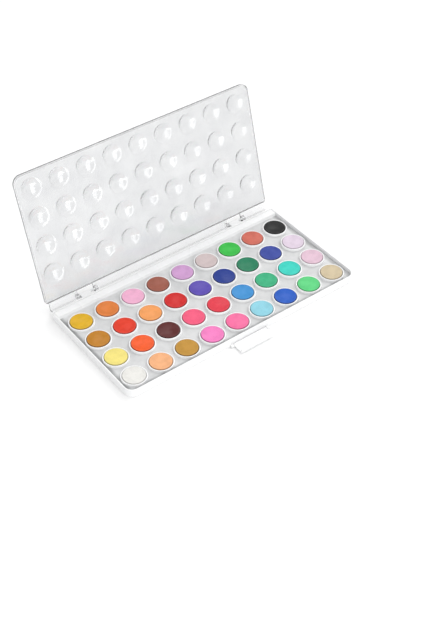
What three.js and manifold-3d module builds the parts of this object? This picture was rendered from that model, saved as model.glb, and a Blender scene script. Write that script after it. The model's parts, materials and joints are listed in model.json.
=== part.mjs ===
// Watercolour paint box: a white case with a clear hinged lid that serves as a mixing palette,
// a tray of round cups, pressed paint cakes and a front clasp.
// Millimetres, +Z up. The origin is the middle of the case's underside, X runs along the box
// and +Y points to the hinges.
import * as THREE from 'three';
import { mergeVertices } from 'three/addons/utils/BufferGeometryUtils.js';
import Module from 'manifold-3d';

const wasm = await Module();
wasm.setup();

// The grid of cups
const cupPitch = 30.5;
const columns = 9;
const rows = 4;
const cupOuterRadius = 13.1;
const cupWall = 1.4;
const cupHeight = 2.7;

// The paint cakes: discs with a worn edge, a little proud of their cups
const cakeGap = 0.3;
const cakeSeat = 0.2;
const cakeProud = 0.5;
const cakeBevel = 0.7;

// The tray: a plate on a skirt and ribs, with a raised ledge at the back
const trayPlate = 1.2;
const traySkirt = 1.2;
const trayGap = 0.3;
const trayClearUnder = 1.9;
const cupMarginSide = 2.5;
const cupMarginFront = 3.3;
const cupMarginRear = 4.5;
const ledgeWidth = 8;
const ledgeDrop = 0.2;
const ribWidth = 1.2;

// The case
const caseHeight = 9.2;
const caseWall = 1.6;
const caseFloor = 1.4;
const frontCornerRadius = 9.5;
const rearCornerRadius = 3;

// The lid, described shut
const lidInset = 0.5;
const lidGap = 0.3;
const lidSkirtDepth = 2.5;
const lidPlate = 1;
const lidWall = 1.2;
const domeRadius = 11.6;
const domeHeight = 4.5;
const openAngle = THREE.MathUtils.degToRad(105.9);

// The hinges: lugs on the case, slots and bosses on the lid, a pin through each
const hingeInset = 45.2;
const hingeReach = 5.5;
const hingeDrop = 2.1;
const pinRadius = 1.1;
const pinClearance = 0.2;
const pinEndGap = 0.4;
const lugWidth = 11.4;
const lugRadius = 2.3;
const lugRoot = 5.4;
const lugSideGap = 0.5;
const slotWidth = 18.6;
const bossWidth = 3;
const bossRadius = 2.4;
const flangeWall = 1.2;
const flangeInset = 3;
const apronOffset = 3.5;
const stopGap = 0.3;

// The front clasp
const claspWidth = 40;
const claspWall = 1.6;
const claspReach = 1.9;
const claspAxisHeight = 2;
const claspBarrelRadius = 1.6;
const claspNibWall = 1.2;
const claspNibReach = 0.8;
const claspClearance = 0.5;
const claspPinRadius = 0.8;
const earWidth = 3;
const earGap = 0.4;
const earRadius = 1.7;

// How far joined shapes reach into each other, and how far a cut passes its face
const sink = 0.5;
const overrun = 2;

// How finely round shapes are divided, each step being two flats
const roundSides = 16;
const pinSteps = 6;
const eyeSteps = 3;
const cornerSteps = 3;
const bossSteps = 2;
const domeRings = 2;

// Worked out from the sizes above
const cupInnerRadius = cupOuterRadius - cupWall;
const cakeRadius = cupInnerRadius - cakeGap;
const cakeHeight = cupHeight + cakeProud - cakeSeat;
const gridHalfX = cupPitch * (columns - 1) / 2;
const gridHalfY = cupPitch * (rows - 1) / 2;
const trayHalfX = gridHalfX + cupOuterRadius + cupMarginSide;
const caseHalfX = trayHalfX + trayGap + caseWall;
const trayFrontReach = gridHalfY + cupOuterRadius + cupMarginFront;
const ledgeFrontReach = gridHalfY + cupOuterRadius + cupMarginRear;
const trayRearReach = ledgeFrontReach + ledgeWidth;
const trayHalfY = (trayFrontReach + trayRearReach) / 2;
const gridY = (trayFrontReach - trayRearReach) / 2;
const caseHalfY = trayHalfY + trayGap + caseWall;
const trayBottom = caseFloor + trayGap;
const trayTop = trayBottom + trayClearUnder + trayPlate;
const cupTop = trayTop + cupHeight;
const ledgeTop = caseHeight - ledgeDrop;
const ledgeFrontY = gridY + ledgeFrontReach;
const lidHalfX = caseHalfX - lidInset;
const lidFrontY = lidInset - caseHalfY;
const lidBottom = caseHeight + lidGap;
const lidUnder = lidBottom + lidSkirtDepth;
const lidTop = lidUnder + lidPlate;
const hingeX = caseHalfX - hingeInset;
const hingeY = caseHalfY + hingeReach;
const hingeZ = caseHeight - hingeDrop;
const flangeRearY = hingeY + apronOffset;
const apronDrop = (hingeReach - stopGap + apronOffset * Math.cos(openAngle)) / Math.sin(openAngle);
const claspY = -caseHalfY - claspReach;

// The paints from left to right, the row next to the hinges first
const paints = [
  ['golden_yellow', 0xeebb33], ['orange', 0xee8844], ['pale_pink', 0xffbbdd],
  ['brown', 0xaa6655], ['lilac', 0xddaadd], ['pearl_grey', 0xddcccc],
  ['grass_green', 0x44cc55], ['coral', 0xdd7766], ['black', 0x333333],
  ['ochre', 0xcc8833], ['vermilion', 0xee4433], ['apricot', 0xffaa66],
  ['scarlet', 0xdd3333], ['violet', 0x6655bb], ['navy', 0x334499],
  ['dark_green', 0x338866], ['ultramarine', 0x4455aa], ['pale_lilac', 0xeeddee],
  ['lemon', 0xffee88], ['orange_red', 0xff6633], ['maroon', 0x663333],
  ['rose', 0xff6688], ['crimson', 0xee4455], ['sky_blue', 0x4499dd],
  ['sea_green', 0x44bb88], ['turquoise', 0x44ddcc], ['blush', 0xeeccdd],
  ['white', 0xf5f3ee], ['peach', 0xffbb88], ['raw_sienna', 0xcc9944],
  ['magenta', 0xff88cc], ['pink', 0xff77aa], ['ice_blue', 0x99ddee],
  ['royal_blue', 0x3366cc], ['mint_green', 0x66dd88], ['sand', 0xddccaa],
];

const whitePlastic = () => new THREE.MeshStandardMaterial({
  color: 0xf4f5f6, roughness: 0.28, metalness: 0,
});
const clearPlastic = new THREE.MeshStandardMaterial({
  color: 0xe4e8ea, roughness: 0.08, metalness: 0, transparent: true, opacity: 0.35,
});
const pinSteel = () => new THREE.MeshStandardMaterial({
  color: 0x8a8d90, roughness: 0.35, metalness: 0.9,
});
const paintFinish = (color) => new THREE.MeshStandardMaterial({
  color, roughness: 0.8, metalness: 0,
});

function toSolid(geometry) {
  const bare = geometry.index ? geometry.toNonIndexed() : geometry.clone();
  bare.deleteAttribute('normal');
  bare.deleteAttribute('uv');
  const merged = mergeVertices(bare);
  return new wasm.Manifold(new wasm.Mesh({
    numProp: 3,
    vertProperties: new Float32Array(merged.attributes.position.array),
    triVerts: new Uint32Array(merged.index.array),
  }));
}

function toGeometry(solid) {
  const mesh = solid.getMesh();
  const geometry = new THREE.BufferGeometry();
  geometry.setAttribute('position', new THREE.BufferAttribute(mesh.vertProperties, 3));
  geometry.setIndex(new THREE.BufferAttribute(mesh.triVerts, 1));
  const flat = geometry.toNonIndexed();
  flat.computeVertexNormals();
  return flat;
}

function block(x0, x1, y0, y1, z0, z1) {
  const box = new THREE.BoxGeometry(x1 - x0, y1 - y0, z1 - z0);
  box.translate((x0 + x1) / 2, (y0 + y1) / 2, (z0 + z1) / 2);
  return toSolid(box);
}

// A plate whose front and rear corners have their own radii
function plate(halfX, frontY, rearY, frontRadius, rearRadius, z0, z1) {
  const shape = new THREE.Shape();
  shape.moveTo(-halfX + frontRadius, frontY);
  shape.absarc(halfX - frontRadius, frontY + frontRadius, frontRadius, -Math.PI / 2, 0);
  shape.absarc(halfX - rearRadius, rearY - rearRadius, rearRadius, 0, Math.PI / 2);
  shape.absarc(-halfX + rearRadius, rearY - rearRadius, rearRadius, Math.PI / 2, Math.PI);
  shape.absarc(-halfX + frontRadius, frontY + frontRadius, frontRadius, Math.PI, Math.PI * 3 / 2);
  const solid = new THREE.ExtrudeGeometry(shape, {
    depth: z1 - z0, bevelEnabled: false, curveSegments: cornerSteps,
  });
  solid.translate(0, 0, z0);
  return toSolid(solid);
}

// A shape drawn in Y and Z, drawn out along X
function alongX(shape, x0, x1, steps) {
  const solid = new THREE.ExtrudeGeometry(shape, {
    depth: x1 - x0, bevelEnabled: false, curveSegments: steps,
  });
  solid.applyMatrix4(new THREE.Matrix4().makeBasis(
    new THREE.Vector3(0, 1, 0), new THREE.Vector3(0, 0, 1), new THREE.Vector3(1, 0, 0)));
  solid.translate(x0, 0, 0);
  return toSolid(solid);
}

function rod(radius, x0, x1, y, z) {
  const shape = new THREE.Shape();
  shape.absarc(y, z, radius, 0, Math.PI * 2);
  return alongX(shape, x0, x1, pinSteps);
}

function turned(points, sides) {
  return new THREE.LatheGeometry(points.map(([r, z]) => new THREE.Vector2(r, z)), sides)
    .rotateX(Math.PI / 2);
}

function joinAll(solids) {
  return solids.reduce((whole, next) => whole.add(next));
}

function gridPlaces() {
  const places = [];
  for (let row = 0; row < rows; row += 1) {
    for (let column = 0; column < columns; column += 1) {
      places.push([column * cupPitch - gridHalfX, gridY + gridHalfY - row * cupPitch]);
    }
  }
  return places;
}

// An arm that runs from a wall to an eye round a pin. Its wall lies on the side of its sign.
function eyeArm(x0, x1, wallY, eyeY, eyeZ, radius, rootZ0, rootZ1) {
  const away = Math.sign(eyeY - wallY);
  const shape = new THREE.Shape();
  shape.moveTo(wallY, rootZ0);
  shape.lineTo(eyeY, eyeZ - radius);
  shape.absarc(eyeY, eyeZ, radius, -Math.PI / 2, Math.PI / 2, away < 0);
  shape.lineTo(wallY, rootZ1);
  return alongX(shape, x0, x1, eyeSteps);
}

const slotSides = [-1, 1].map((side) => {
  const middle = side * hingeX;
  return [middle - slotWidth / 2, middle + slotWidth / 2];
});

function makeCase() {
  const outer = plate(caseHalfX, -caseHalfY, caseHalfY, frontCornerRadius, rearCornerRadius,
    0, caseHeight);
  const inner = plate(caseHalfX - caseWall, caseWall - caseHalfY, caseHalfY - caseWall,
    frontCornerRadius - caseWall, rearCornerRadius - caseWall, caseFloor, caseHeight + overrun);
  let solid = outer.subtract(inner);
  for (const [slotLeft] of slotSides) {
    const left = slotLeft + lugSideGap;
    const lug = eyeArm(left, left + lugWidth, caseHalfY - sink, hingeY, hingeZ, lugRadius,
      caseHeight - lugRoot, caseHeight);
    const hole = rod(pinRadius + pinClearance, left - overrun, left + lugWidth + overrun,
      hingeY, hingeZ);
    solid = solid.add(lug).subtract(hole);
  }
  for (const side of [-1, 1]) {
    const near = side * (claspWidth / 2 + earGap);
    const far = near + side * earWidth;
    const [x0, x1] = side > 0 ? [near, far] : [far, near];
    const ear = eyeArm(x0, x1, sink - caseHalfY, claspY, claspAxisHeight, earRadius,
      claspAxisHeight - earRadius, claspAxisHeight + earRadius);
    const hole = rod(claspPinRadius + pinClearance, x0 - overrun, x1 + overrun,
      claspY, claspAxisHeight);
    solid = solid.add(ear).subtract(hole);
  }
  return solid;
}

function makeTray() {
  const cornerRadius = frontCornerRadius - caseWall - trayGap;
  const rearRadius = rearCornerRadius - caseWall - trayGap;
  const outer = plate(trayHalfX, -trayHalfY, trayHalfY, cornerRadius, rearRadius,
    trayBottom, trayTop);
  const under = plate(trayHalfX - traySkirt, traySkirt - trayHalfY, trayHalfY - traySkirt,
    cornerRadius - traySkirt, rearRadius, trayBottom - overrun, trayTop - trayPlate);
  const ledge = plate(trayHalfX, ledgeFrontY, trayHalfY, rearRadius, rearRadius,
    trayTop - trayPlate, ledgeTop);
  const ledgeHollow = plate(trayHalfX - traySkirt, ledgeFrontY + traySkirt,
    trayHalfY - traySkirt, rearRadius, rearRadius, trayBottom - overrun, ledgeTop - trayPlate);
  let solid = outer.subtract(under).add(ledge).subtract(ledgeHollow);
  for (let gap = 1; gap < rows; gap += 1) {
    const ribY = gridY + gridHalfY + cupPitch / 2 - gap * cupPitch;
    solid = solid.add(block(traySkirt / 2 - trayHalfX, trayHalfX - traySkirt / 2,
      ribY - ribWidth / 2, ribY + ribWidth / 2, trayBottom, trayTop - trayPlate / 2));
  }
  const ring = toSolid(turned([
    [cupInnerRadius, trayTop - sink],
    [cupOuterRadius, trayTop - sink],
    [cupOuterRadius, cupTop],
    [cupInnerRadius, cupTop],
    [cupInnerRadius, trayTop - sink],
  ], roundSides));
  return solid.add(joinAll(gridPlaces().map(([x, y]) => ring.translate(x, y, 0))));
}

function makeCake() {
  return toSolid(turned([
    [0, 0],
    [cakeRadius, 0],
    [cakeRadius, cakeHeight - cakeBevel],
    [cakeRadius - cakeBevel, cakeHeight],
    [0, cakeHeight],
  ], roundSides));
}

// A round cap on a short post, from which domes are added and cut
function domeCap(baseZ, postDepth) {
  const ballRadius = (domeRadius ** 2 + domeHeight ** 2) / (2 * domeHeight);
  const edgeAngle = Math.asin(domeRadius / ballRadius);
  const points = [[0, baseZ - postDepth], [domeRadius, baseZ - postDepth]];
  for (let ring = 0; ring < domeRings; ring += 1) {
    const angle = edgeAngle * (1 - ring / domeRings);
    points.push([ballRadius * Math.sin(angle),
      baseZ + domeHeight - ballRadius * (1 - Math.cos(angle))]);
  }
  points.push([0, baseZ + domeHeight]);
  return toSolid(turned(points, roundSides));
}

function makeLid() {
  const cornerRadius = frontCornerRadius - lidInset;
  const outer = plate(lidHalfX, lidFrontY, caseHalfY, cornerRadius, rearCornerRadius,
    lidBottom, lidTop);
  const inner = plate(lidHalfX - lidWall, lidFrontY + lidWall, caseHalfY - lidWall,
    cornerRadius - lidWall, rearCornerRadius - lidWall, lidBottom - overrun, lidUnder);
  const bump = domeCap(lidTop, sink);
  const hollow = domeCap(lidUnder, overrun);
  const places = gridPlaces();
  let solid = outer.subtract(inner)
    .add(joinAll(places.map(([x, y]) => bump.translate(x, y, 0))))
    .subtract(joinAll(places.map(([x, y]) => hollow.translate(x, y, 0))));
  const flangeX = lidHalfX - flangeInset;
  solid = solid.add(block(-flangeX, flangeX, caseHalfY - sink, flangeRearY,
    lidBottom, lidBottom + flangeWall));
  solid = solid.add(block(-flangeX, flangeX, flangeRearY - flangeWall, flangeRearY,
    hingeZ - apronDrop, lidBottom + sink));
  for (const [left, right] of slotSides) {
    for (const [x0, x1] of [[left - bossWidth, left], [right, right + bossWidth]]) {
      const boss = new THREE.Shape();
      boss.moveTo(hingeY - bossRadius, lidBottom + sink);
      boss.lineTo(hingeY - bossRadius, hingeZ);
      boss.absarc(hingeY, hingeZ, bossRadius, Math.PI, Math.PI * 3 / 2);
      boss.lineTo(flangeRearY - sink, hingeZ - bossRadius);
      boss.lineTo(flangeRearY - sink, lidBottom + sink);
      solid = solid.add(alongX(boss, x0, x1, bossSteps));
    }
    solid = solid.subtract(block(left, right, caseHalfY, flangeRearY + overrun,
      hingeZ - apronDrop - overrun, lidBottom + flangeWall + overrun));
    solid = solid.subtract(rod(pinRadius + pinClearance, left - bossWidth - overrun,
      right + bossWidth + overrun, hingeY, hingeZ));
  }
  return solid.translate(0, -hingeY, -hingeZ);
}

// The clasp lying open, drawn round its own pivot
function makeClasp() {
  const half = claspWidth / 2;
  const nibLow = lidTop + claspClearance - claspAxisHeight;
  const length = nibLow + claspNibWall;
  const nibHigh = lidFrontY - claspY + claspNibReach;
  return rod(claspBarrelRadius, -half, half, 0, 0)
    .add(rod(claspPinRadius, -half - earWidth, half + earWidth, 0, 0))
    .add(block(-half, half, -length, 0, -claspWall / 2, claspWall / 2))
    .add(block(-half, half, -length, -nibLow, -claspWall / 2, nibHigh));
}

function mesh(name, geometry, material, place) {
  const part = new THREE.Mesh(geometry, material);
  part.name = name;
  part.position.set(...place);
  return part;
}

const box = new THREE.Group();
box.add(mesh('case', toGeometry(makeCase()), whitePlastic(), [0, 0, 0]));
box.add(mesh('cup_tray', toGeometry(makeTray()), whitePlastic(), [0, 0, 0]));

const cakeGeometry = toGeometry(makeCake());
gridPlaces().forEach(([x, y], index) => {
  const [paint, color] = paints[index % paints.length];
  box.add(mesh(`cake_${paint}`, cakeGeometry, paintFinish(color), [x, y, trayTop + cakeSeat]));
});

slotSides.forEach(([left, right], index) => {
  const reach = bossWidth - pinEndGap;
  const pin = rod(pinRadius, left - reach, right + reach, hingeY, hingeZ);
  box.add(mesh(['hinge_pin_left', 'hinge_pin_right'][index], toGeometry(pin), pinSteel(),
    [0, 0, 0]));
});

const lidSwing = new THREE.Group();
lidSwing.position.set(0, hingeY, hingeZ);
lidSwing.rotation.x = -openAngle;
lidSwing.add(mesh('lid', toGeometry(makeLid()), clearPlastic, [0, 0, 0]));
box.add(lidSwing);

box.add(mesh('front_clasp', toGeometry(makeClasp()), whitePlastic(),
  [0, claspY, claspAxisHeight]));

export default box;
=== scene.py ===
import json
import math

import bmesh
import bpy
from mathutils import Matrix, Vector


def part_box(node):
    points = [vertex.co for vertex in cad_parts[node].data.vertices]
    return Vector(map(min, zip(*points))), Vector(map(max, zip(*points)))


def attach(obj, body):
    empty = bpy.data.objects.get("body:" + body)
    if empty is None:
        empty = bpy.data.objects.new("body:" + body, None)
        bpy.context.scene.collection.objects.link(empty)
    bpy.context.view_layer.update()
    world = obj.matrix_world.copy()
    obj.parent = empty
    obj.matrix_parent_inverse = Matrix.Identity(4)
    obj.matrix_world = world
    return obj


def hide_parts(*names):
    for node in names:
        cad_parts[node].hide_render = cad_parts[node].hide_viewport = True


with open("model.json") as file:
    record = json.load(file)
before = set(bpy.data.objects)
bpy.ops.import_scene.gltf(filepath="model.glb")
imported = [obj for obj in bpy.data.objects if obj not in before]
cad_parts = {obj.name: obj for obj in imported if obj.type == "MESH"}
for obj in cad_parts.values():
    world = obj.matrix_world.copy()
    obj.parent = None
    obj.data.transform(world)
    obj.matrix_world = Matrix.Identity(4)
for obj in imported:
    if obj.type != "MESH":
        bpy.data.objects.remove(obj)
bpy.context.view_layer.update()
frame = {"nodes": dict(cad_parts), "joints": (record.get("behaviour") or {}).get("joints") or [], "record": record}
mm = 0.001
close = 0.02 * mm  # this near counts as being there
slack = 0.05 * mm  # further than this counts as being off it
past = 1 * mm  # how far a cutter reaches past what it cuts
level = (1, 1, 0)  # leaves out the height
white = (1, 1, 1, 1)
print("frame loaded:", len(frame["nodes"]), "nodes")


# small tools for working by hand
def focus(piece):
    bpy.ops.object.select_all(action="DESELECT")
    piece.select_set(True)
    bpy.context.view_layer.objects.active = piece


def named(name):
    piece = bpy.context.object
    piece.name = piece.data.name = name
    bpy.ops.object.transform_apply(location=True, rotation=True, scale=True)
    return piece


def addBlock(name, low, high):
    bpy.ops.object.select_all(action="DESELECT")
    low, high = Vector(low), Vector(high)
    bpy.ops.mesh.primitive_cube_add(size=1, location=(low + high) / 2, scale=high - low)
    return named(name)


def addRod(name, radius, x0, x1, y, z, sides=32):
    bpy.ops.object.select_all(action="DESELECT")
    bpy.ops.mesh.primitive_cylinder_add(vertices=sides, radius=radius, depth=x1 - x0,
                                        location=((x0 + x1) / 2, y, z),
                                        rotation=(0, math.pi / 2, 0))
    return named(name)


def addTurned(name, profile, sides):
    # a solid of revolution round Z, drawn out ring by ring from a filled circle
    bpy.ops.object.select_all(action="DESELECT")
    (radius, z), rest = profile[0], profile[1:]
    bpy.ops.mesh.primitive_circle_add(vertices=sides, radius=radius, fill_type="NGON",
                                      location=(0, 0, z))
    piece = named(name)
    bpy.ops.object.mode_set(mode="EDIT")
    bpy.ops.mesh.select_mode(type="FACE")
    bpy.ops.mesh.select_all(action="SELECT")
    for nextRadius, nextZ in rest:
        bpy.ops.mesh.extrude_region_move(TRANSFORM_OT_translate={"value": (0, 0, nextZ - z)})
        grow = nextRadius / radius
        bpy.ops.transform.resize(value=(grow, grow, 1), center_override=(0, 0, nextZ))
        radius, z = nextRadius, nextZ
    bpy.ops.mesh.select_all(action="SELECT")
    bpy.ops.mesh.normals_make_consistent(inside=False)
    bpy.ops.object.mode_set(mode="OBJECT")
    return piece


def pick(piece, kind, test):
    # opens the piece for editing with the verts, edges or faces that pass the test selected
    focus(piece)
    bpy.ops.object.mode_set(mode="EDIT")
    bpy.ops.mesh.select_mode(type=kind)
    bpy.ops.mesh.select_all(action="DESELECT")
    mesh = bmesh.from_edit_mesh(piece.data)
    for item in {"VERT": mesh.verts, "EDGE": mesh.edges, "FACE": mesh.faces}[kind]:
        if test(item):
            item.select_set(True)
    bmesh.update_edit_mesh(piece.data)


def middle(edge):
    return (edge.verts[0].co + edge.verts[1].co) / 2


def isUpright(edge, share=0.99):
    span = edge.verts[0].co - edge.verts[1].co
    return abs(span.z) > share * span.length


def isLevelAt(edge, z):
    return all(abs(v.co.z - z) < close for v in edge.verts)


def isSharp(edge, turn=1):
    # turn is in radians
    return edge.calc_face_angle(0) > turn


def facesUp(face, share=0.9):
    return face.normal.z > share


def done():
    bpy.ops.object.mode_set(mode="OBJECT")


def soften(piece, width, steps, test):
    # rounds the edges that pass the test
    pick(piece, "EDGE", test)
    bpy.ops.mesh.bevel(offset=width, segments=steps, affect="EDGES", clamp_overlap=True)
    done()


def softenAt(piece, z, width, steps):
    soften(piece, width, steps, lambda e: isLevelAt(e, z) and isSharp(e))


def raisePart(piece, cutY, rise, test):
    # cuts the piece across at cutY and raises the upper faces on the side that passes the test
    pick(piece, "FACE", lambda f: True)
    bpy.ops.mesh.bisect(plane_co=(0, cutY, 0), plane_no=(0, 1, 0))
    done()
    pick(piece, "FACE", lambda f: facesUp(f) and test(f.calc_center_median().y))
    bpy.ops.mesh.extrude_region_move(TRANSFORM_OT_translate={"value": (0, 0, rise)})
    done()


def combine(piece, tool, how):
    focus(piece)
    step = piece.modifiers.new("combine", "BOOLEAN")
    step.operation, step.solver, step.object = how, "EXACT", tool
    bpy.ops.object.modifier_apply(modifier=step.name)
    bpy.data.objects.remove(tool)


def drill(piece, shape, x0, x1, axis):
    # a bore round the axis for the pin that shape gives
    bore = addRod("bore", shape["pinRadius"] + shape["pinClearance"], x0 - past, x1 + past,
                  axis.y, axis.z)
    combine(piece, bore, "DIFFERENCE")


def copyTo(piece, name, shift):
    twin = piece.copy()
    twin.data = piece.data.copy()
    twin.name = twin.data.name = name
    bpy.context.collection.objects.link(twin)
    twin.location = shift
    focus(twin)
    bpy.ops.object.transform_apply(location=True, rotation=True, scale=True)
    return twin


def joined(pieces, name):
    focus(pieces[0])
    for piece in pieces:
        piece.select_set(True)
    bpy.ops.object.join()
    pieces[0].name = pieces[0].data.name = name
    return pieces[0]


def roundedPlate(name, low, high, frontRadius, rearRadius, steps):
    piece = addBlock(name, low, high)
    soften(piece, frontRadius, steps, lambda e: isUpright(e) and middle(e).y < 0)
    soften(piece, rearRadius, steps,
           lambda e: isUpright(e) and middle(e).y > high[1] - rearRadius / 2)
    return piece


def finishShape(piece, angle=35):
    focus(piece)
    bpy.ops.object.shade_smooth_by_angle(angle=math.radians(angle))
    step = piece.modifiers.new("flat faces", "WEIGHTED_NORMAL")
    step.keep_sharp = True
    bpy.ops.object.modifier_apply(modifier=step.name)


# node tools: a setting is a link, a number or a tuple
def feed(tree, socket, setting):
    if isinstance(setting, bpy.types.NodeSocket):
        tree.links.new(setting, socket)
    else:
        socket.default_value = setting


def feedAll(tree, node, settings):
    for socketName, setting in settings.items():
        feed(tree, node.inputs[socketName], setting)


def calc(tree, kind, *settings):
    node = tree.nodes.new("ShaderNodeMath")
    node.operation = kind
    for socket, setting in zip(node.inputs, settings):
        feed(tree, socket, setting)
    return node.outputs["Value"]


def vectorCalc(tree, kind, *settings):
    node = tree.nodes.new("ShaderNodeVectorMath")
    node.operation = kind
    for socket, setting in zip(node.inputs, settings):
        feed(tree, socket, setting)
    return node.outputs["Value" if kind in ("LENGTH", "DOT_PRODUCT") else "Vector"]


def spread(tree, value, low, high, toLow, toHigh):
    node = tree.nodes.new("ShaderNodeMapRange")
    feedAll(tree, node, {"Value": value, "From Min": low, "From Max": high, "To Min": toLow,
                         "To Max": toHigh})
    return node.outputs["Result"]


def blend(tree, share, first, second):
    node = tree.nodes.new("ShaderNodeMix")
    node.data_type = "RGBA"
    feedAll(tree, node, {"Factor": share, "A": first, "B": second})
    return node.outputs["Result"]


def cloudy(tree, place, scale, detail):
    node = tree.nodes.new("ShaderNodeTexNoise")
    feedAll(tree, node, {"Vector": place, "Scale": scale, "Detail": detail})
    return node.outputs["Fac"]


def bumped(tree, height, strength, distance):
    node = tree.nodes.new("ShaderNodeBump")
    feedAll(tree, node, {"Height": height, "Strength": strength, "Distance": distance})
    return node.outputs["Normal"]


def along(tree, place, axis):
    node = tree.nodes.new("ShaderNodeSeparateXYZ")
    tree.links.new(place, node.inputs["Vector"])
    return node.outputs[axis]


def newGroup(name, inputs, outputs):
    group = bpy.data.node_groups.new(name, "ShaderNodeTree")
    for way, sockets in (("INPUT", inputs), ("OUTPUT", outputs)):
        for socketName, kind in sockets:
            group.interface.new_socket(socketName, in_out=way, socket_type="NodeSocket" + kind)
    start = group.nodes.new("NodeGroupInput").outputs
    end = group.nodes.new("NodeGroupOutput").inputs
    return group, start, end


def useGroup(tree, group, values):
    node = tree.nodes.new("ShaderNodeGroup")
    node.node_tree = group
    feedAll(tree, node, values)
    return node.outputs


def newMaterial(name):
    material = bpy.data.materials.new(name)
    material.use_nodes = True
    tree = material.node_tree
    place = tree.nodes.new("ShaderNodeTexCoord").outputs["Object"]
    return material, tree, tree.nodes["Principled BSDF"], place


def wear(tree, shader, skin):
    feedAll(tree, shader, {"Base Color": skin["Color"], "Roughness": skin["Roughness"],
                           "Normal": skin["Normal"]})


# in the looks a cloud is its scale and detail, and a range is from, to, least and most
mouldedLook = {
    "waveDetail": 2.0,
    "fineness": 9.0,  # how much finer the marks of handling are than the waves
    "fineDetail": 4.0,
    "fineShare": 0.4,
    "handled": (0.5, 0.95, 0.0, 1.0),
    "glossFrom": 0.35,
    "glossTo": 0.65,
    "waveDepth": 0.05 * mm,
}


def mouldedGroup():
    # injection-moulded plastic: faint waviness, handling haze and a tone that drifts with it
    look = mouldedLook
    group, start, end = newGroup(
        "moulded skin",
        (("Place", "Vector"), ("Clean", "Color"), ("Handled", "Color"), ("Wave size", "Float"),
         ("Wave height", "Float"), ("Gloss low", "Float"), ("Gloss high", "Float")),
        (("Color", "Color"), ("Roughness", "Float"), ("Normal", "Vector")))
    wave = cloudy(group, start["Place"], start["Wave size"], look["waveDetail"])
    fineSize = calc(group, "MULTIPLY", start["Wave size"], look["fineness"])
    fine = cloudy(group, start["Place"], fineSize, look["fineDetail"])
    marks = calc(group, "MULTIPLY_ADD", fine, look["fineShare"], wave)
    touched = spread(group, marks, *look["handled"])
    feed(group, end["Color"], blend(group, touched, start["Clean"], start["Handled"]))
    feed(group, end["Roughness"], spread(group, wave, look["glossFrom"], look["glossTo"],
                                         start["Gloss low"], start["Gloss high"]))
    feed(group, end["Normal"], bumped(group, wave, start["Wave height"], look["waveDepth"]))
    return group


# how patchy the painted shade is, and how rough it leaves the surface
shadeLook = {
    "cloud": (90.0, 5.0),
    "drift": (0.3, 0.7, 0.7, 1.0),
    "roughness": 0.6,
}


def makeShadeGroup():
    # painted shade, laid on in uneven patches; it also makes the surface rougher
    group, start, end = newGroup(
        "painted shade",
        (("Place", "Vector"), ("Clean", "Color"), ("Shade colour", "Color"), ("Gloss", "Float"),
         ("Amount", "Float")),
        (("Color", "Color"), ("Roughness", "Float")))
    cloud = cloudy(group, start["Place"], *shadeLook["cloud"])
    drift = spread(group, cloud, *shadeLook["drift"])
    cover = calc(group, "MULTIPLY", start["Amount"], drift)
    feed(group, end["Color"], blend(group, cover, start["Clean"], start["Shade colour"]))
    feed(group, end["Roughness"],
         spread(group, cover, 0.0, 1.0, start["Gloss"], shadeLook["roughness"]))
    return group


pressedLook = {
    "cloud": (130.0, 4.0),
    "grain": (2400.0, 3.0),
    "speck": (900.0, 2.0),
    "patch": (60.0, 3.0),
    "deepOutwards": 0.16,  # the deep tone gathers towards the rim
    "deep": (0.48, 0.74, 0.0, 0.7),
    "specks": (0.5, 0.72, 0.0, 0.5),
    "paleOutwards": -0.2,  # and the pale one towards the middle
    "pale": (0.36, 0.6, 0.0, 0.45),
    "ragged": 0.1,
    "rim": (0.92, 0.99, 0.0, 0.45),
    # where on the cake's sides the painted shade lies
    "side": (0.945, 0.985, 0.0, 1.0),
    "roughness": (0.3, 0.7, 0.6, 0.85),
    "cloudHeight": 2.0,
    "bump": 0.6,
    "bumpDepth": 0.08 * mm,
}


def pressedGroup():
    # pressed paint: powder grain, soft cloudy patches, a rubbed rim and painted shade on the sides
    look = pressedLook
    group, start, end = newGroup(
        "pressed paint",
        (("Place", "Vector"), ("Centre", "Vector"), ("Paint", "Color"), ("Rubbed", "Color"),
         ("Deep", "Color"), ("Side", "Color"), ("Radius", "Float")),
        (("Color", "Color"), ("Roughness", "Float"), ("Normal", "Vector")))
    place = start["Place"]
    cloud, grain, speck, patch = (cloudy(group, place, *look[kind])
                                  for kind in ("cloud", "grain", "speck", "patch"))
    away = vectorCalc(group, "MULTIPLY", vectorCalc(group, "SUBTRACT", place, start["Centre"]),
                      level)
    out = calc(group, "DIVIDE", vectorCalc(group, "LENGTH", away), start["Radius"])
    deepCloud = calc(group, "MULTIPLY_ADD", out, look["deepOutwards"], cloud)
    patchy = blend(group, spread(group, deepCloud, *look["deep"]), start["Paint"], start["Deep"])
    speckled = blend(group, spread(group, speck, *look["specks"]), patchy, start["Deep"])
    paleCloud = calc(group, "MULTIPLY_ADD", out, look["paleOutwards"], patch)
    paled = blend(group, spread(group, paleCloud, *look["pale"]), speckled, start["Rubbed"])
    ragged = calc(group, "MULTIPLY_ADD", cloud, look["ragged"], out)
    worn = blend(group, spread(group, ragged, *look["rim"]), paled, start["Rubbed"])
    # the sides are painted darker, as shade
    sideShadeShare = spread(group, out, *look["side"])
    feed(group, end["Color"], blend(group, sideShadeShare, worn, start["Side"]))
    feed(group, end["Roughness"], spread(group, cloud, *look["roughness"]))
    height = calc(group, "MULTIPLY_ADD", cloud, look["cloudHeight"], grain)
    feed(group, end["Normal"], bumped(group, height, look["bump"], look["bumpDepth"]))
    return group


mouldedSkin, shadeSkin, pressedPaint = mouldedGroup(), makeShadeGroup(), pressedGroup()
slotColour = {entry["slot"]: entry["base_color"] for entry in frame["record"]["materials"]}

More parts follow.
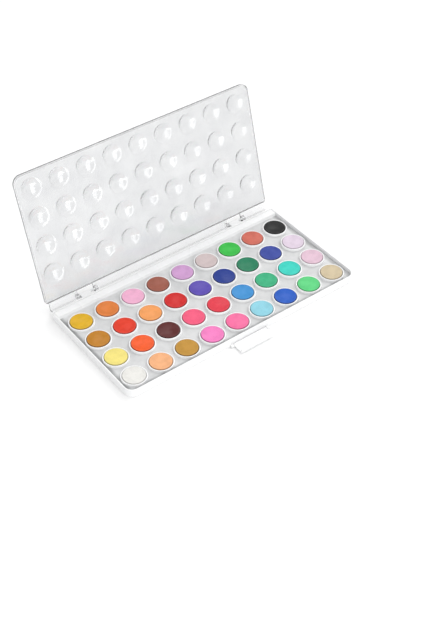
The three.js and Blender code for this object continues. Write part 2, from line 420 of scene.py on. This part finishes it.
whiteSkin = {"Clean": (0.94, 0.943, 0.946, 1), "Handled": (0.9, 0.904, 0.91, 1), "Wave size": 40,
             "Wave height": 0.15, "Gloss low": 0.2, "Gloss high": 0.3}
whiteSettings = {"IOR": 1.5}
clearSkin = {"Clean": (0.785, 0.79, 0.795, 1), "Handled": (0.715, 0.72, 0.73, 1), "Wave size": 45,
             "Wave height": 0.14, "Gloss low": 0.11, "Gloss high": 0.15}
clearSettings = {"IOR": 1.49, "Transmission Weight": 1.0}
# painted shade where the clear plastic is seen edge on
clearEdgeShade = {"tone": (0.36, 0.37, 0.39, 1), "blend": 0.5, "from": 0.56, "to": 0.78}
clearShadow = 0.2  # how much of the light the clear lid holds back
# painted light: a paler tint along the hinge strip, lifting the shade seen through it
clearStripLight = {"tone": (0.95, 0.95, 0.955, 1), "from": 10.6 * mm, "to": 11.8 * mm}
steelSkin = {"Clean": (0.86, 0.87, 0.88, 1), "Handled": (0.7, 0.7, 0.7, 1), "Wave size": 900,
             "Wave height": 0.6, "Gloss low": 0.25, "Gloss high": 0.4}
# the colour of the painted shade
shadeColour = (0.3, 0.305, 0.31, 1)


def plasticMaterial(name, skinValues, settings):
    material, tree, shader, place = newMaterial(name)
    skin = useGroup(tree, mouldedSkin, {"Place": place, **skinValues})
    wear(tree, shader, skin)
    feedAll(tree, shader, settings)
    return material, tree, shader, place, skin


def clearMaterial():
    # clear plastic with painted shade where it is seen edge on, and a paler strip painted along the hinge as light
    material, tree, shader, place, skin = plasticMaterial(
        "clear polystyrene", clearSkin, clearSettings)
    # painted shade: the plastic's colour darkens where it is seen edge on
    glance = tree.nodes.new("ShaderNodeLayerWeight")
    glance.inputs["Blend"].default_value = clearEdgeShade["blend"]
    share = spread(tree, glance.outputs["Facing"], clearEdgeShade["from"], clearEdgeShade["to"], 0.0, 1.0)
    # painted light: below these heights the hinge strip is paler
    plate = spread(tree, along(tree, place, "Z"), clearStripLight["from"], clearStripLight["to"], 0.0, 1.0)
    body = blend(tree, plate, clearStripLight["tone"], skin["Color"])
    feed(tree, shader.inputs["Base Color"], blend(tree, share, body, clearEdgeShade["tone"]))
    # most of the light passes through, so its shadow stays faint
    rays = tree.nodes.new("ShaderNodeLightPath")
    feed(tree, shader.inputs["Alpha"],
         spread(tree, rays.outputs["Is Shadow Ray"], 0.0, 1.0, 1.0, clearShadow))
    return material


def shadedMaterial(name, amount):
    # white plastic with painted shade where amount(tree, place) says
    material, tree, shader, place, skin = plasticMaterial(name, whiteSkin, whiteSettings)
    shadeMark = useGroup(tree, shadeSkin, {"Place": place, "Clean": skin["Color"], "Shade colour": shadeColour,
                                        "Gloss": skin["Roughness"], "Amount": amount(tree, place)})
    feed(tree, shader.inputs["Base Color"], shadeMark["Color"])
    feed(tree, shader.inputs["Roughness"], shadeMark["Roughness"])
    return material


whitePlastic = plasticMaterial("white polystyrene", whiteSkin, whiteSettings)[0]
pinSteel = plasticMaterial("drawn steel", steelSkin, {"Metallic": 1.0})[0]
clearPlastic = clearMaterial()


paintLook = {
    "strength": 0.925,  # how much light the pressed powder gives back
    "rubbedTo": 0.9,
    "rubbedShare": 0.07,
    "deep": 0.84,
    # the painted shade on the sides keeps this share of the paint's colour, more for pale paints
    "side": 0.34,
    "paleShadeLift": 0.4,  # pale paints get lighter painted shade on their sides
    "shine": 0.2,
}


def paintMaterial(paintName, colour, centre, radius):
    material, tree, shader, place = newMaterial("paint " + paintName)
    look = paintLook
    base = [c * look["strength"] for c in colour[:3]]
    sideShadeShare = look["side"] + look["paleShadeLift"] * min(base)
    cake = useGroup(tree, pressedPaint, {
        "Place": place,
        "Centre": centre,
        "Paint": (*base, 1),
        "Rubbed": (*(c + (look["rubbedTo"] - c) * look["rubbedShare"] for c in base), 1),
        "Deep": (*(c * look["deep"] for c in base), 1),
        "Side": (*(c * sideShadeShare for c in base), 1),
        "Radius": radius,
    })
    wear(tree, shader, cake)
    shader.inputs["Specular IOR Level"].default_value = look["shine"]
    return material


def dress(piece, material, body, slotName, *nodeNames):
    piece.data.materials.clear()
    piece.data.materials.append(material)
    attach(piece, body)
    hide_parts(*nodeNames)


# the case
trayLow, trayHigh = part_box("cup_tray")
hinge = {joint["name"]: joint for joint in frame["joints"]}
lidAxis = Vector(hinge["lid_hinge"]["pos_m"])
claspAxis = Vector(hinge["clasp_hinge"]["pos_m"])
openAngle = math.radians(hinge["lid_hinge"]["range_deg"][1])

caseShape = {
    "growth": 1.9 * mm,  # from the tray out to the case's outer face
    "height": 9.2 * mm,
    "wall": 1.6 * mm,
    "floor": 1.4 * mm,
    "frontRadius": 9.5 * mm,
    "rearRadius": 3 * mm,
    "cornerSteps": 10,
    "rim": 0.4 * mm,
    "foot": 0.7 * mm,
    "fillet": 0.5 * mm,
    "edgeSteps": 3,
    # painted shade low on the inner walls, fading out between these heights
    "shadeMark": 0.18,
    "shadeLow": 4.6 * mm,
    "shadeHigh": 7.4 * mm,
}
hingeShape = {
    "middleX": 94.3 * mm,
    "slotWidth": 18.6 * mm,
    "lugWidth": 11.4 * mm,
    "lugSideGap": 0.5 * mm,
    "lugRadius": 2.3 * mm,
    "rootHeight": 5.4 * mm,
    "pinRadius": 1.1 * mm,
    "pinClearance": 0.2 * mm,
    "pinEdge": 0.25 * mm,
    "pinEdgeSteps": 2,
    "bossWidth": 3 * mm,
    "bossRadius": 2.4 * mm,
    "pinEndGap": 0.4 * mm,
    "sink": 0.5 * mm,
}
claspShape = {
    "width": 40 * mm,
    "wall": 1.6 * mm,
    "barrelRadius": 1.6 * mm,
    "pinRadius": 0.8 * mm,
    "pinClearance": 0.2 * mm,
    "earWidth": 3 * mm,
    "earGap": 0.4 * mm,
    "earRadius": 1.7 * mm,
    "lipWall": 1.2 * mm,
    "edge": 0.35 * mm,
    "edgeSteps": 3,
    "barrelSteps": 2,
}
armShape = {
    "flatFrom": 0.05,  # share of the radius from which the arm runs on to the wall
    "edge": 0.3 * mm,
    "edgeSteps": 2,
    "edgeTurn": 1.2,  # only edges that turn by more are rounded
}
halfX = trayHigh.x + caseShape["growth"]
halfY = trayHigh.y + caseShape["growth"]
slots = [(side * hingeShape["middleX"] - hingeShape["slotWidth"] / 2,
          side * hingeShape["middleX"] + hingeShape["slotWidth"] / 2) for side in (-1, 1)]


def eyeArm(name, x0, x1, wallY, axis, radius, rootLow, rootHigh):
    # a rod whose inner half is flattened against the wall and spread to the arm's root
    arm = addRod(name, radius, x0, x1, axis.y, axis.z)
    towards = math.copysign(1, wallY - axis.y)
    pick(arm, "VERT", lambda v: (v.co.y - axis.y) * towards > armShape["flatFrom"] * radius)
    stretch = (rootHigh - rootLow) / 2 / radius
    bpy.ops.transform.resize(value=(1, 0, stretch), center_override=(0, axis.y, axis.z))
    rise = (rootHigh + rootLow) / 2 - axis.z
    bpy.ops.transform.translate(value=(0, wallY - axis.y, rise))
    done()
    soften(arm, armShape["edge"], armShape["edgeSteps"],
           lambda e: isSharp(e, armShape["edgeTurn"]) and abs(middle(e).y - wallY) > slack)
    return arm


def makeCase():
    shape = caseShape
    piece = roundedPlate("case_shell", (-halfX, -halfY, 0), (halfX, halfY, shape["height"]),
                         shape["frontRadius"], shape["rearRadius"], shape["cornerSteps"])
    pick(piece, "FACE", facesUp)
    bpy.ops.mesh.inset(thickness=shape["wall"])
    depth = shape["height"] - shape["floor"]
    bpy.ops.mesh.extrude_region_move(TRANSFORM_OT_translate={"value": (0, 0, -depth)})
    done()
    for z, width in ((shape["height"], shape["rim"]), (0, shape["foot"]),
                     (shape["floor"], shape["fillet"])):
        softenAt(piece, z, width, shape["edgeSteps"])
    for slotLeft, _ in slots:
        left = slotLeft + hingeShape["lugSideGap"]
        right = left + hingeShape["lugWidth"]
        lug = eyeArm("lug", left, right, halfY - hingeShape["sink"], lidAxis,
                     hingeShape["lugRadius"], shape["height"] - hingeShape["rootHeight"],
                     shape["height"])
        drill(lug, hingeShape, left, right, lidAxis)
        combine(piece, lug, "UNION")
    for side in (-1, 1):
        near = side * (claspShape["width"] / 2 + claspShape["earGap"])
        left, right = sorted((near, near + side * claspShape["earWidth"]))
        radius = claspShape["earRadius"]
        ear = eyeArm("ear", left, right, hingeShape["sink"] - halfY, claspAxis,
                     radius, claspAxis.z - radius, claspAxis.z + radius)
        drill(ear, claspShape, left, right, claspAxis)
        combine(piece, ear, "UNION")
    finishShape(piece)
    return piece


def casePaintedShade(tree, place):
    # painted shade in the corner where the inner walls meet the tray; inner walls face the middle
    facing = tree.nodes.new("ShaderNodeTexCoord").outputs["Normal"]
    outward = vectorCalc(tree, "DOT_PRODUCT", vectorCalc(tree, "MULTIPLY", place, level), facing)
    inside = calc(tree, "LESS_THAN", outward, 0.0)
    low = spread(tree, along(tree, place, "Z"), caseShape["shadeLow"], caseShape["shadeHigh"],
                 caseShape["shadeMark"], 0.0)
    return calc(tree, "MULTIPLY", inside, low)


caseShell = makeCase()
dress(caseShell, shadedMaterial("white polystyrene, case", casePaintedShade), "base", "white_plastic",
      "case")
print("case made:", len(caseShell.data.polygons), "faces")

# the tray and its cups
cakeNames = [name for name in frame["nodes"] if name.startswith("cake_")]
cakeBoxes = {name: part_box(name) for name in cakeNames}
cakeLow, cakeHigh = cakeBoxes[cakeNames[0]]
cakeMiddle = (cakeLow + cakeHigh) / 2
cakeSpots = [(low + high) / 2 * Vector(level) for low, high in cakeBoxes.values()]
trayShape = {
    "top": 4.8 * mm,
    "plate": 1.2 * mm,
    "skirt": 1.2 * mm,
    "frontRadius": 7.6 * mm,
    "rearRadius": 1.1 * mm,
    "cornerSteps": 8,
    "ledgeWidth": 8 * mm,
    "ledgeEdge": 0.7 * mm,
    "edgeSteps": 4,
    "ledgeFillet": 1.6 * mm,
    "filletSteps": 5,
    "ribWidth": 1.2 * mm,
    # painted shade on the tray floor, round the cups' feet and along the edge
    "shadeNear": 0.64,
    "shadeFar": 0.52,
    "nearReach": 3 * mm,  # how far the deeper painted shade reaches from a cup's foot
    "shadeFrom": 0.1 * mm,  # up the cups' sides the painted shade thins out between these heights
    "shadeUntil": 1 * mm,
    "edgeShadeAmount": 0.85,
    "edgeShadeFrom": 2 * mm,
    "edgeShadeUntil": 5.8 * mm,
    "rightShadeShare": 0.55,  # how much of the painted shade is left along the right side
    "rightShadeReach": 12 * mm,
}
cupShape = {
    "outerRadius": 13.1 * mm,
    "innerRadius": 11.7 * mm,
    "top": 7.5 * mm,
    "foot": 0.9 * mm,
    "footCurve": 0.95,
    "footSteps": 4,
    "rim": 0.5 * mm,
    "rimSteps": 3,
    "sunk": 0.1 * mm,
    "sides": 64,
}


def makeCup():
    shape, plateTop = cupShape, trayShape["top"] - cupShape["sunk"]
    footRadius = shape["outerRadius"] + shape["foot"]
    cup = addTurned("cup", [
        (footRadius, plateTop - trayShape["plate"] / 2),
        (footRadius, plateTop),
        (shape["outerRadius"], plateTop),
        (shape["outerRadius"], shape["top"]),
        (shape["innerRadius"], shape["top"]),
        (shape["innerRadius"], plateTop),
    ], shape["sides"])
    soften(cup, shape["foot"] * shape["footCurve"], shape["footSteps"],
           lambda e: isLevelAt(e, plateTop)
           and abs(middle(e).xy.length - shape["outerRadius"]) < slack)
    softenAt(cup, shape["top"], shape["rim"], shape["rimSteps"])
    return cup


def makeTray():
    shape = trayShape
    piece = roundedPlate("cup_tray_moulding", trayLow, (trayHigh.x, trayHigh.y, shape["top"]),
                         shape["frontRadius"], shape["rearRadius"], shape["cornerSteps"])
    ledgeY = trayHigh.y - shape["ledgeWidth"]
    raisePart(piece, ledgeY, trayHigh.z - shape["top"], lambda y: y > ledgeY)
    softenAt(piece, trayHigh.z, shape["ledgeEdge"], shape["edgeSteps"])
    soften(piece, shape["ledgeFillet"], shape["filletSteps"],
           lambda e: isLevelAt(e, shape["top"]) and abs(middle(e).y - ledgeY) < close)
    skirt, low = shape["skirt"], trayLow.z - past
    for y0, z1 in ((trayLow.y + skirt, shape["top"] - shape["plate"]),
                   (ledgeY + skirt, trayHigh.z - shape["plate"])):
        hollow = addBlock("hollow", (trayLow.x + skirt, y0, low),
                          (trayHigh.x - skirt, trayHigh.y - skirt, z1))
        combine(piece, hollow, "DIFFERENCE")
    middles = sorted({round((low.y + high.y) / 2, 5) for low, high in cakeBoxes.values()})
    for y in [(a + b) / 2 for a, b in zip(middles, middles[1:])]:
        rib = addBlock("rib", (trayLow.x + skirt / 2, y - shape["ribWidth"] / 2, trayLow.z),
                       (trayHigh.x - skirt / 2, y + shape["ribWidth"] / 2,
                        shape["top"] - shape["plate"] / 2))
        combine(piece, rib, "UNION")
    cup = makeCup()
    cups = [copyTo(cup, "cup", spot) for spot in cakeSpots]
    bpy.data.objects.remove(cup)
    combine(piece, joined(cups, "cups"), "UNION")
    finishShape(piece)
    return piece


def trayPaintedShade(tree, place):
    # painted shade on the floor, thicker round the cups' feet
    shape, radius = trayShape, cupShape["outerRadius"]
    pitch = (cakeBoxes[cakeNames[1]][0] - cakeLow).x
    centred = vectorCalc(tree, "SUBTRACT", place, (cakeMiddle.x, cakeMiddle.y, 0))
    wrapped = vectorCalc(tree, "WRAP", centred, (pitch / 2, pitch / 2, 1),
                         (-pitch / 2, -pitch / 2, -1))
    reach = vectorCalc(tree, "LENGTH", vectorCalc(tree, "MULTIPLY", wrapped, level))
    cupShadeMask = spread(tree, reach, radius, radius + shape["nearReach"], shape["shadeNear"],
                     shape["shadeFar"])
    low = spread(tree, along(tree, place, "Z"), shape["top"] + shape["shadeFrom"],
                 shape["top"] + shape["shadeUntil"], 1.0, 0.0)
    # a soft band of painted shade along the outer edge and round its corners
    half, radius = (trayHigh - trayLow) / 2, shape["frontRadius"]
    centred = vectorCalc(tree, "SUBTRACT", place, (trayLow + trayHigh) / 2)
    away = vectorCalc(tree, "ABSOLUTE", centred)
    beyond = vectorCalc(tree, "MAXIMUM",
                        vectorCalc(tree, "SUBTRACT", away, (half.x - radius, half.y - radius, 1)),
                        (0, 0, 0))
    edgeShadeMask = spread(tree, vectorCalc(tree, "LENGTH", beyond), radius - shape["edgeShadeUntil"],
                  radius - shape["edgeShadeFrom"], 0.0, shape["edgeShadeAmount"])
    # and less of both towards the right end
    shadeKept = spread(tree, along(tree, place, "X"), trayHigh.x - shape["rightShadeReach"],
                  trayHigh.x - shape["edgeShadeFrom"], 1.0, shape["rightShadeShare"])
    shadeMark = calc(tree, "MULTIPLY", calc(tree, "ADD", cupShadeMask, edgeShadeMask), low)
    return calc(tree, "MULTIPLY", shadeMark, shadeKept)


cupTray = makeTray()
dress(cupTray, shadedMaterial("white polystyrene, tray", trayPaintedShade), "base", "white_plastic",
      "cup_tray")
print("tray made:", len(cupTray.data.polygons), "faces")

# the paint cakes
cakeShape = {
    "radius": (cakeHigh.x - cakeLow.x) / 2,
    "bevel": 0.75 * mm,
    "bevelSteps": 4,
    "dish": 0.12 * mm,
    "rings": ((0.86, 0), (0.5, 1), (0.1, 1.3)),  # shares of the radius and of the dish
    "sides": 64,
    "smoothTo": 60,  # degrees
}


def makeCake():
    shape = cakeShape
    radius, low, high = shape["radius"], cakeLow.z, cakeHigh.z
    profile = [(radius, low), (radius, high)]
    profile += [(radius * out, high - shape["dish"] * down) for out, down in shape["rings"]]
    cake = addTurned("cake", profile, shape["sides"])
    softenAt(cake, high, shape["bevel"], shape["bevelSteps"])
    finishShape(cake, shape["smoothTo"])
    return cake


plainCake = makeCake()
for name in cakeNames:
    low, high = cakeBoxes[name]
    centre = (low + high) / 2
    paint = name.removeprefix("cake_")
    slotName = "paint_" + paint
    cake = copyTo(plainCake, slotName, (centre.x, centre.y, 0))
    finish = paintMaterial(paint.replace("_", " "), slotColour[slotName], centre,
                           cakeShape["radius"])
    dress(cake, finish, "base", slotName, name)
bpy.data.objects.remove(plainCake)
print("paint cakes made:", len(cakeNames))

# the hinge pins
for side, (left, right) in zip(("left", "right"), slots):
    reach = hingeShape["bossWidth"] - hingeShape["pinEndGap"]
    pin = addRod("pin_" + side, hingeShape["pinRadius"], left - reach, right + reach,
                 lidAxis.y, lidAxis.z)
    soften(pin, hingeShape["pinEdge"], hingeShape["pinEdgeSteps"], isSharp)
    finishShape(pin)
    dress(pin, pinSteel, "base", "pin_steel", "hinge_pin_" + side)
print("hinge pins made")

# the lid, modelled shut and then opened round its hinge
lidShape = {
    "inset": 0.5 * mm,
    "bottom": 9.5 * mm,
    "under": 12 * mm,
    "top": 13 * mm,
    "wall": 1.2 * mm,
    "frontRadius": 9 * mm,
    "rearRadius": 3 * mm,
    "cornerSteps": 10,
    "edge": 0.8 * mm,
    "edgeSteps": 4,
    "rim": 0.3 * mm,
    "rimSteps": 3,
    "flangeInset": 3 * mm,
    "flangeReach": 3.5 * mm,
    "flangeWall": 1.2 * mm,
    "flangeEdge": 0.35 * mm,
    "flangeSteps": 3,
    "apronLow": 2.69 * mm,
}
wellShape = {
    "radius": 12.4 * mm,
    "height": 4.5 * mm,
    "cap": 14.15 * mm,  # how round the hollow is inside
    "footSteps": 5,
    "capSteps": 8,
    "tip": 0.02,  # the last ring, as a share of the cap
    "sides": 48,
    "sunk": 0.01 * mm,
    "topPost": 0.4 * mm,  # how deep the outer and the inner shapes stand in the plate
    "hollowPost": 0.6 * mm,
}


def wellProfile(baseZ, post, extra):
    # a round cap that runs out to the plate in a hollow curve, both curves meeting at one slope;
    # extra is how much rounder the outer side is than the inner
    shape = wellShape
    slope = 2 * math.atan(shape["height"] / shape["radius"])
    cap, foot = shape["cap"] + extra, shape["radius"] / math.sin(slope) - shape["cap"] - extra
    profile = [(shape["radius"], baseZ - post), (shape["radius"], baseZ)]
    for step in range(1, shape["footSteps"]):
        turn = slope * step / shape["footSteps"]
        profile.append((shape["radius"] - foot * math.sin(turn),
                        baseZ + foot * (1 - math.cos(turn))))
    for step in range(shape["capSteps"]):
        turn = slope * (1 - step / shape["capSteps"])
        profile.append((cap * math.sin(turn),
                        baseZ + shape["height"] - cap * (1 - math.cos(turn))))
    profile.append((cap * shape["tip"], baseZ + shape["height"]))
    return profile


def makeWells(name, baseZ, post, extra):
    well = addTurned(name, wellProfile(baseZ, post, extra), wellShape["sides"])
    wells = [copyTo(well, name, spot) for spot in cakeSpots]
    bpy.data.objects.remove(well)
    return joined(wells, name)


def makeLid():
    shape = lidShape
    x, frontY, rearY = halfX - shape["inset"], shape["inset"] - halfY, halfY
    piece = roundedPlate("clear_lid", (-x, frontY, shape["bottom"]), (x, rearY, shape["top"]),
                         shape["frontRadius"], shape["rearRadius"], shape["cornerSteps"])
    softenAt(piece, shape["top"], shape["edge"], shape["edgeSteps"])
    wall = shape["wall"]
    inside = roundedPlate("inside", (wall - x, frontY + wall, shape["bottom"] - past),
                          (x - wall, rearY - wall, shape["under"]),
                          shape["frontRadius"] - wall, shape["rearRadius"] - wall,
                          shape["cornerSteps"])
    softenAt(inside, shape["under"], shape["rim"], shape["rimSteps"])
    sunk, plate = wellShape["sunk"], shape["top"] - shape["under"]
    tops = makeWells("well_tops", shape["top"] - sunk, wellShape["topPost"], plate)
    combine(piece, tops, "UNION")
    hollows = makeWells("well_hollows", shape["under"] - sunk, wellShape["hollowPost"], 0)
    combine(inside, hollows, "UNION")
    combine(piece, inside, "DIFFERENCE")
    sink, flangeX = hingeShape["sink"], x - shape["flangeInset"]
    flangeRearY = lidAxis.y + shape["flangeReach"]
    flange = addBlock("flange", (-flangeX, halfY - sink, shape["bottom"]),
                      (flangeX, flangeRearY, shape["bottom"] + shape["flangeWall"]))
    apron = addBlock("apron", (-flangeX, flangeRearY - shape["flangeWall"], shape["apronLow"]),
                     (flangeX, flangeRearY, shape["bottom"] + sink))
    combine(flange, apron, "UNION")
    soften(flange, shape["flangeEdge"], shape["flangeSteps"],
           lambda e: e.calc_length() > flangeX and isSharp(e)
           and min(v.co.y for v in e.verts) > lidAxis.y)
    bossWidth = hingeShape["bossWidth"]
    for left, right in slots:
        for x0, x1 in ((left - bossWidth, left), (right, right + bossWidth)):
            boss = addRod("boss", hingeShape["bossRadius"], x0, x1, lidAxis.y, lidAxis.z)
            pick(boss, "VERT", lambda v: v.co.z > lidAxis.z + slack)
            bpy.ops.transform.resize(value=(1, 1, 0), center_override=(0, 0, lidAxis.z))
            bpy.ops.transform.translate(value=(0, 0, shape["bottom"] + sink - lidAxis.z))
            done()
            combine(flange, boss, "UNION")
        cut = addBlock("cut", (left, halfY, shape["apronLow"] - past),
                       (right, flangeRearY + past, shape["bottom"] + shape["flangeWall"] + past))
        combine(flange, cut, "DIFFERENCE")
        drill(flange, hingeShape, left - bossWidth, right + bossWidth, lidAxis)
    combine(piece, flange, "UNION")
    focus(piece)
    bpy.context.scene.cursor.location = lidAxis
    bpy.ops.object.origin_set(type="ORIGIN_CURSOR")
    piece.rotation_euler = (-openAngle, 0, 0)
    bpy.ops.object.transform_apply(location=True, rotation=True, scale=True)
    finishShape(piece)
    return piece


clearLid = makeLid()
dress(clearLid, clearPlastic, "lid", "clear_plastic", "lid")
print("lid made:", len(clearLid.data.polygons), "faces")


# the front clasp, lying open
def makeClasp():
    shape = claspShape
    low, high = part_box("front_clasp")
    half, thick = shape["width"] / 2, shape["wall"] / 2
    plate = addBlock("front_clasp_flap", (-half, low.y, claspAxis.z - thick),
                     (half, claspAxis.y, claspAxis.z + thick))
    lipY = low.y + shape["lipWall"]
    raisePart(plate, lipY, high.z - claspAxis.z - thick, lambda y: y < lipY)
    soften(plate, shape["edge"], shape["edgeSteps"],
           lambda e: isSharp(e) and middle(e).y < claspAxis.y - slack)
    barrel = addRod("barrel", shape["barrelRadius"], -half, half, claspAxis.y, claspAxis.z)
    soften(barrel, shape["edge"] / 2, shape["barrelSteps"], isSharp)
    combine(plate, barrel, "UNION")
    reach = half + shape["earWidth"]
    pivot = addRod("pivot", shape["pinRadius"], -reach, reach, claspAxis.y, claspAxis.z)
    combine(plate, pivot, "UNION")
    finishShape(plate)
    return plate


frontClasp = makeClasp()
dress(frontClasp, whitePlastic, "clasp", "white_plastic", "front_clasp")
print("clasp made")

# camera, floor and studio light
view = {"azimuth": 37, "elevation": 43, "distance": 1.159, "target": (-0.007, -0.016, -0.0066),
        "lens": 66.1, "sensor": 36}


def makeCamera():
    camera = bpy.data.cameras.new("camera")
    camera.lens, camera.sensor_width = view["lens"], view["sensor"]
    seat = bpy.data.objects.new("camera", camera)
    bpy.context.collection.objects.link(seat)
    turn, lift = math.radians(view["azimuth"]), math.radians(view["elevation"])
    back = Vector((-math.sin(turn) * math.cos(lift), -math.cos(turn) * math.cos(lift),
                   math.sin(lift)))
    seat.location = Vector(view["target"]) + back * view["distance"]
    seat.rotation_euler = (-back).to_track_quat("-Z", "Y").to_euler()
    bpy.context.scene.camera = seat


studio = {
    "skyTop": 0.86,
    "skyLow": 0.58,
    "keyFrom": (0.8, 0.25, 0.65),
    "keyPower": 2.2,
    "keyTight": 10,
    "floorSize": 12,
    "floorColour": (0.95, 0.95, 0.95, 1),
    "floorGloss": 0.4,
    "floorGlow": 0.05,
    "lights": {  # place, aim, width, height, watts, whether it shows in the gloss alone
        "soft box": ((-0.15, -1.5, 0.95), (0, 0.07, 0.08), 0.9, 1.9, 9.5, False),
        "near window": ((-0.17, -0.38, 0.35), (-0.17, 0, 0.35), 0.32, 0.7, 1.8, True),
        "table glow": ((-0.18, -0.23, 0.004), (-0.18, -0.23, 1), 0.2, 0.3, 0.8, True),
    },
}


def makeWorld():
    # a pale dome, darker towards the horizon, with one broad soft window on the right
    world = bpy.data.worlds.new("studio")
    world.use_nodes = True
    tree = world.node_tree
    place = tree.nodes.new("ShaderNodeTexCoord").outputs["Generated"]
    dome = spread(tree, along(tree, place, "Z"), 0.0, 1.0, studio["skyLow"], studio["skyTop"])
    facing = vectorCalc(tree, "DOT_PRODUCT", place, Vector(studio["keyFrom"]).normalized())
    narrow = calc(tree, "POWER", calc(tree, "MAXIMUM", facing, 0.0), studio["keyTight"])
    light = calc(tree, "MULTIPLY_ADD", narrow, studio["keyPower"], dome)
    feedAll(tree, tree.nodes["Background"], {"Color": white, "Strength": light})
    bpy.context.scene.world = world


def makeStudio():
    bpy.ops.object.select_all(action="DESELECT")
    bpy.ops.mesh.primitive_plane_add(size=studio["floorSize"], location=(0, 0, 0))
    floor = named("floor")
    material, tree, shader, place = newMaterial("studio table")
    feedAll(tree, shader, {"Base Color": studio["floorColour"], "Emission Color": white,
                           "Roughness": studio["floorGloss"],
                           "Emission Strength": studio["floorGlow"]})
    floor.data.materials.append(material)
    makeWorld()
    for lightName, (spot, aim, width, height, watts, glossOnly) in studio["lights"].items():
        light = bpy.data.lights.new(lightName, "AREA")
        light.shape, light.size, light.size_y, light.energy = "RECTANGLE", width, height, watts
        lamp = bpy.data.objects.new(lightName, light)
        bpy.context.collection.objects.link(lamp)
        lamp.location = spot
        lamp.rotation_euler = (Vector(aim) - Vector(spot)).to_track_quat("-Z", "Y").to_euler()
        lamp.visible_camera = False
        lamp.visible_glossy = glossOnly
        lamp.visible_diffuse = not glossOnly
    bpy.context.scene.view_settings.view_transform = "Standard"


makeCamera()
makeStudio()
print("studio ready")
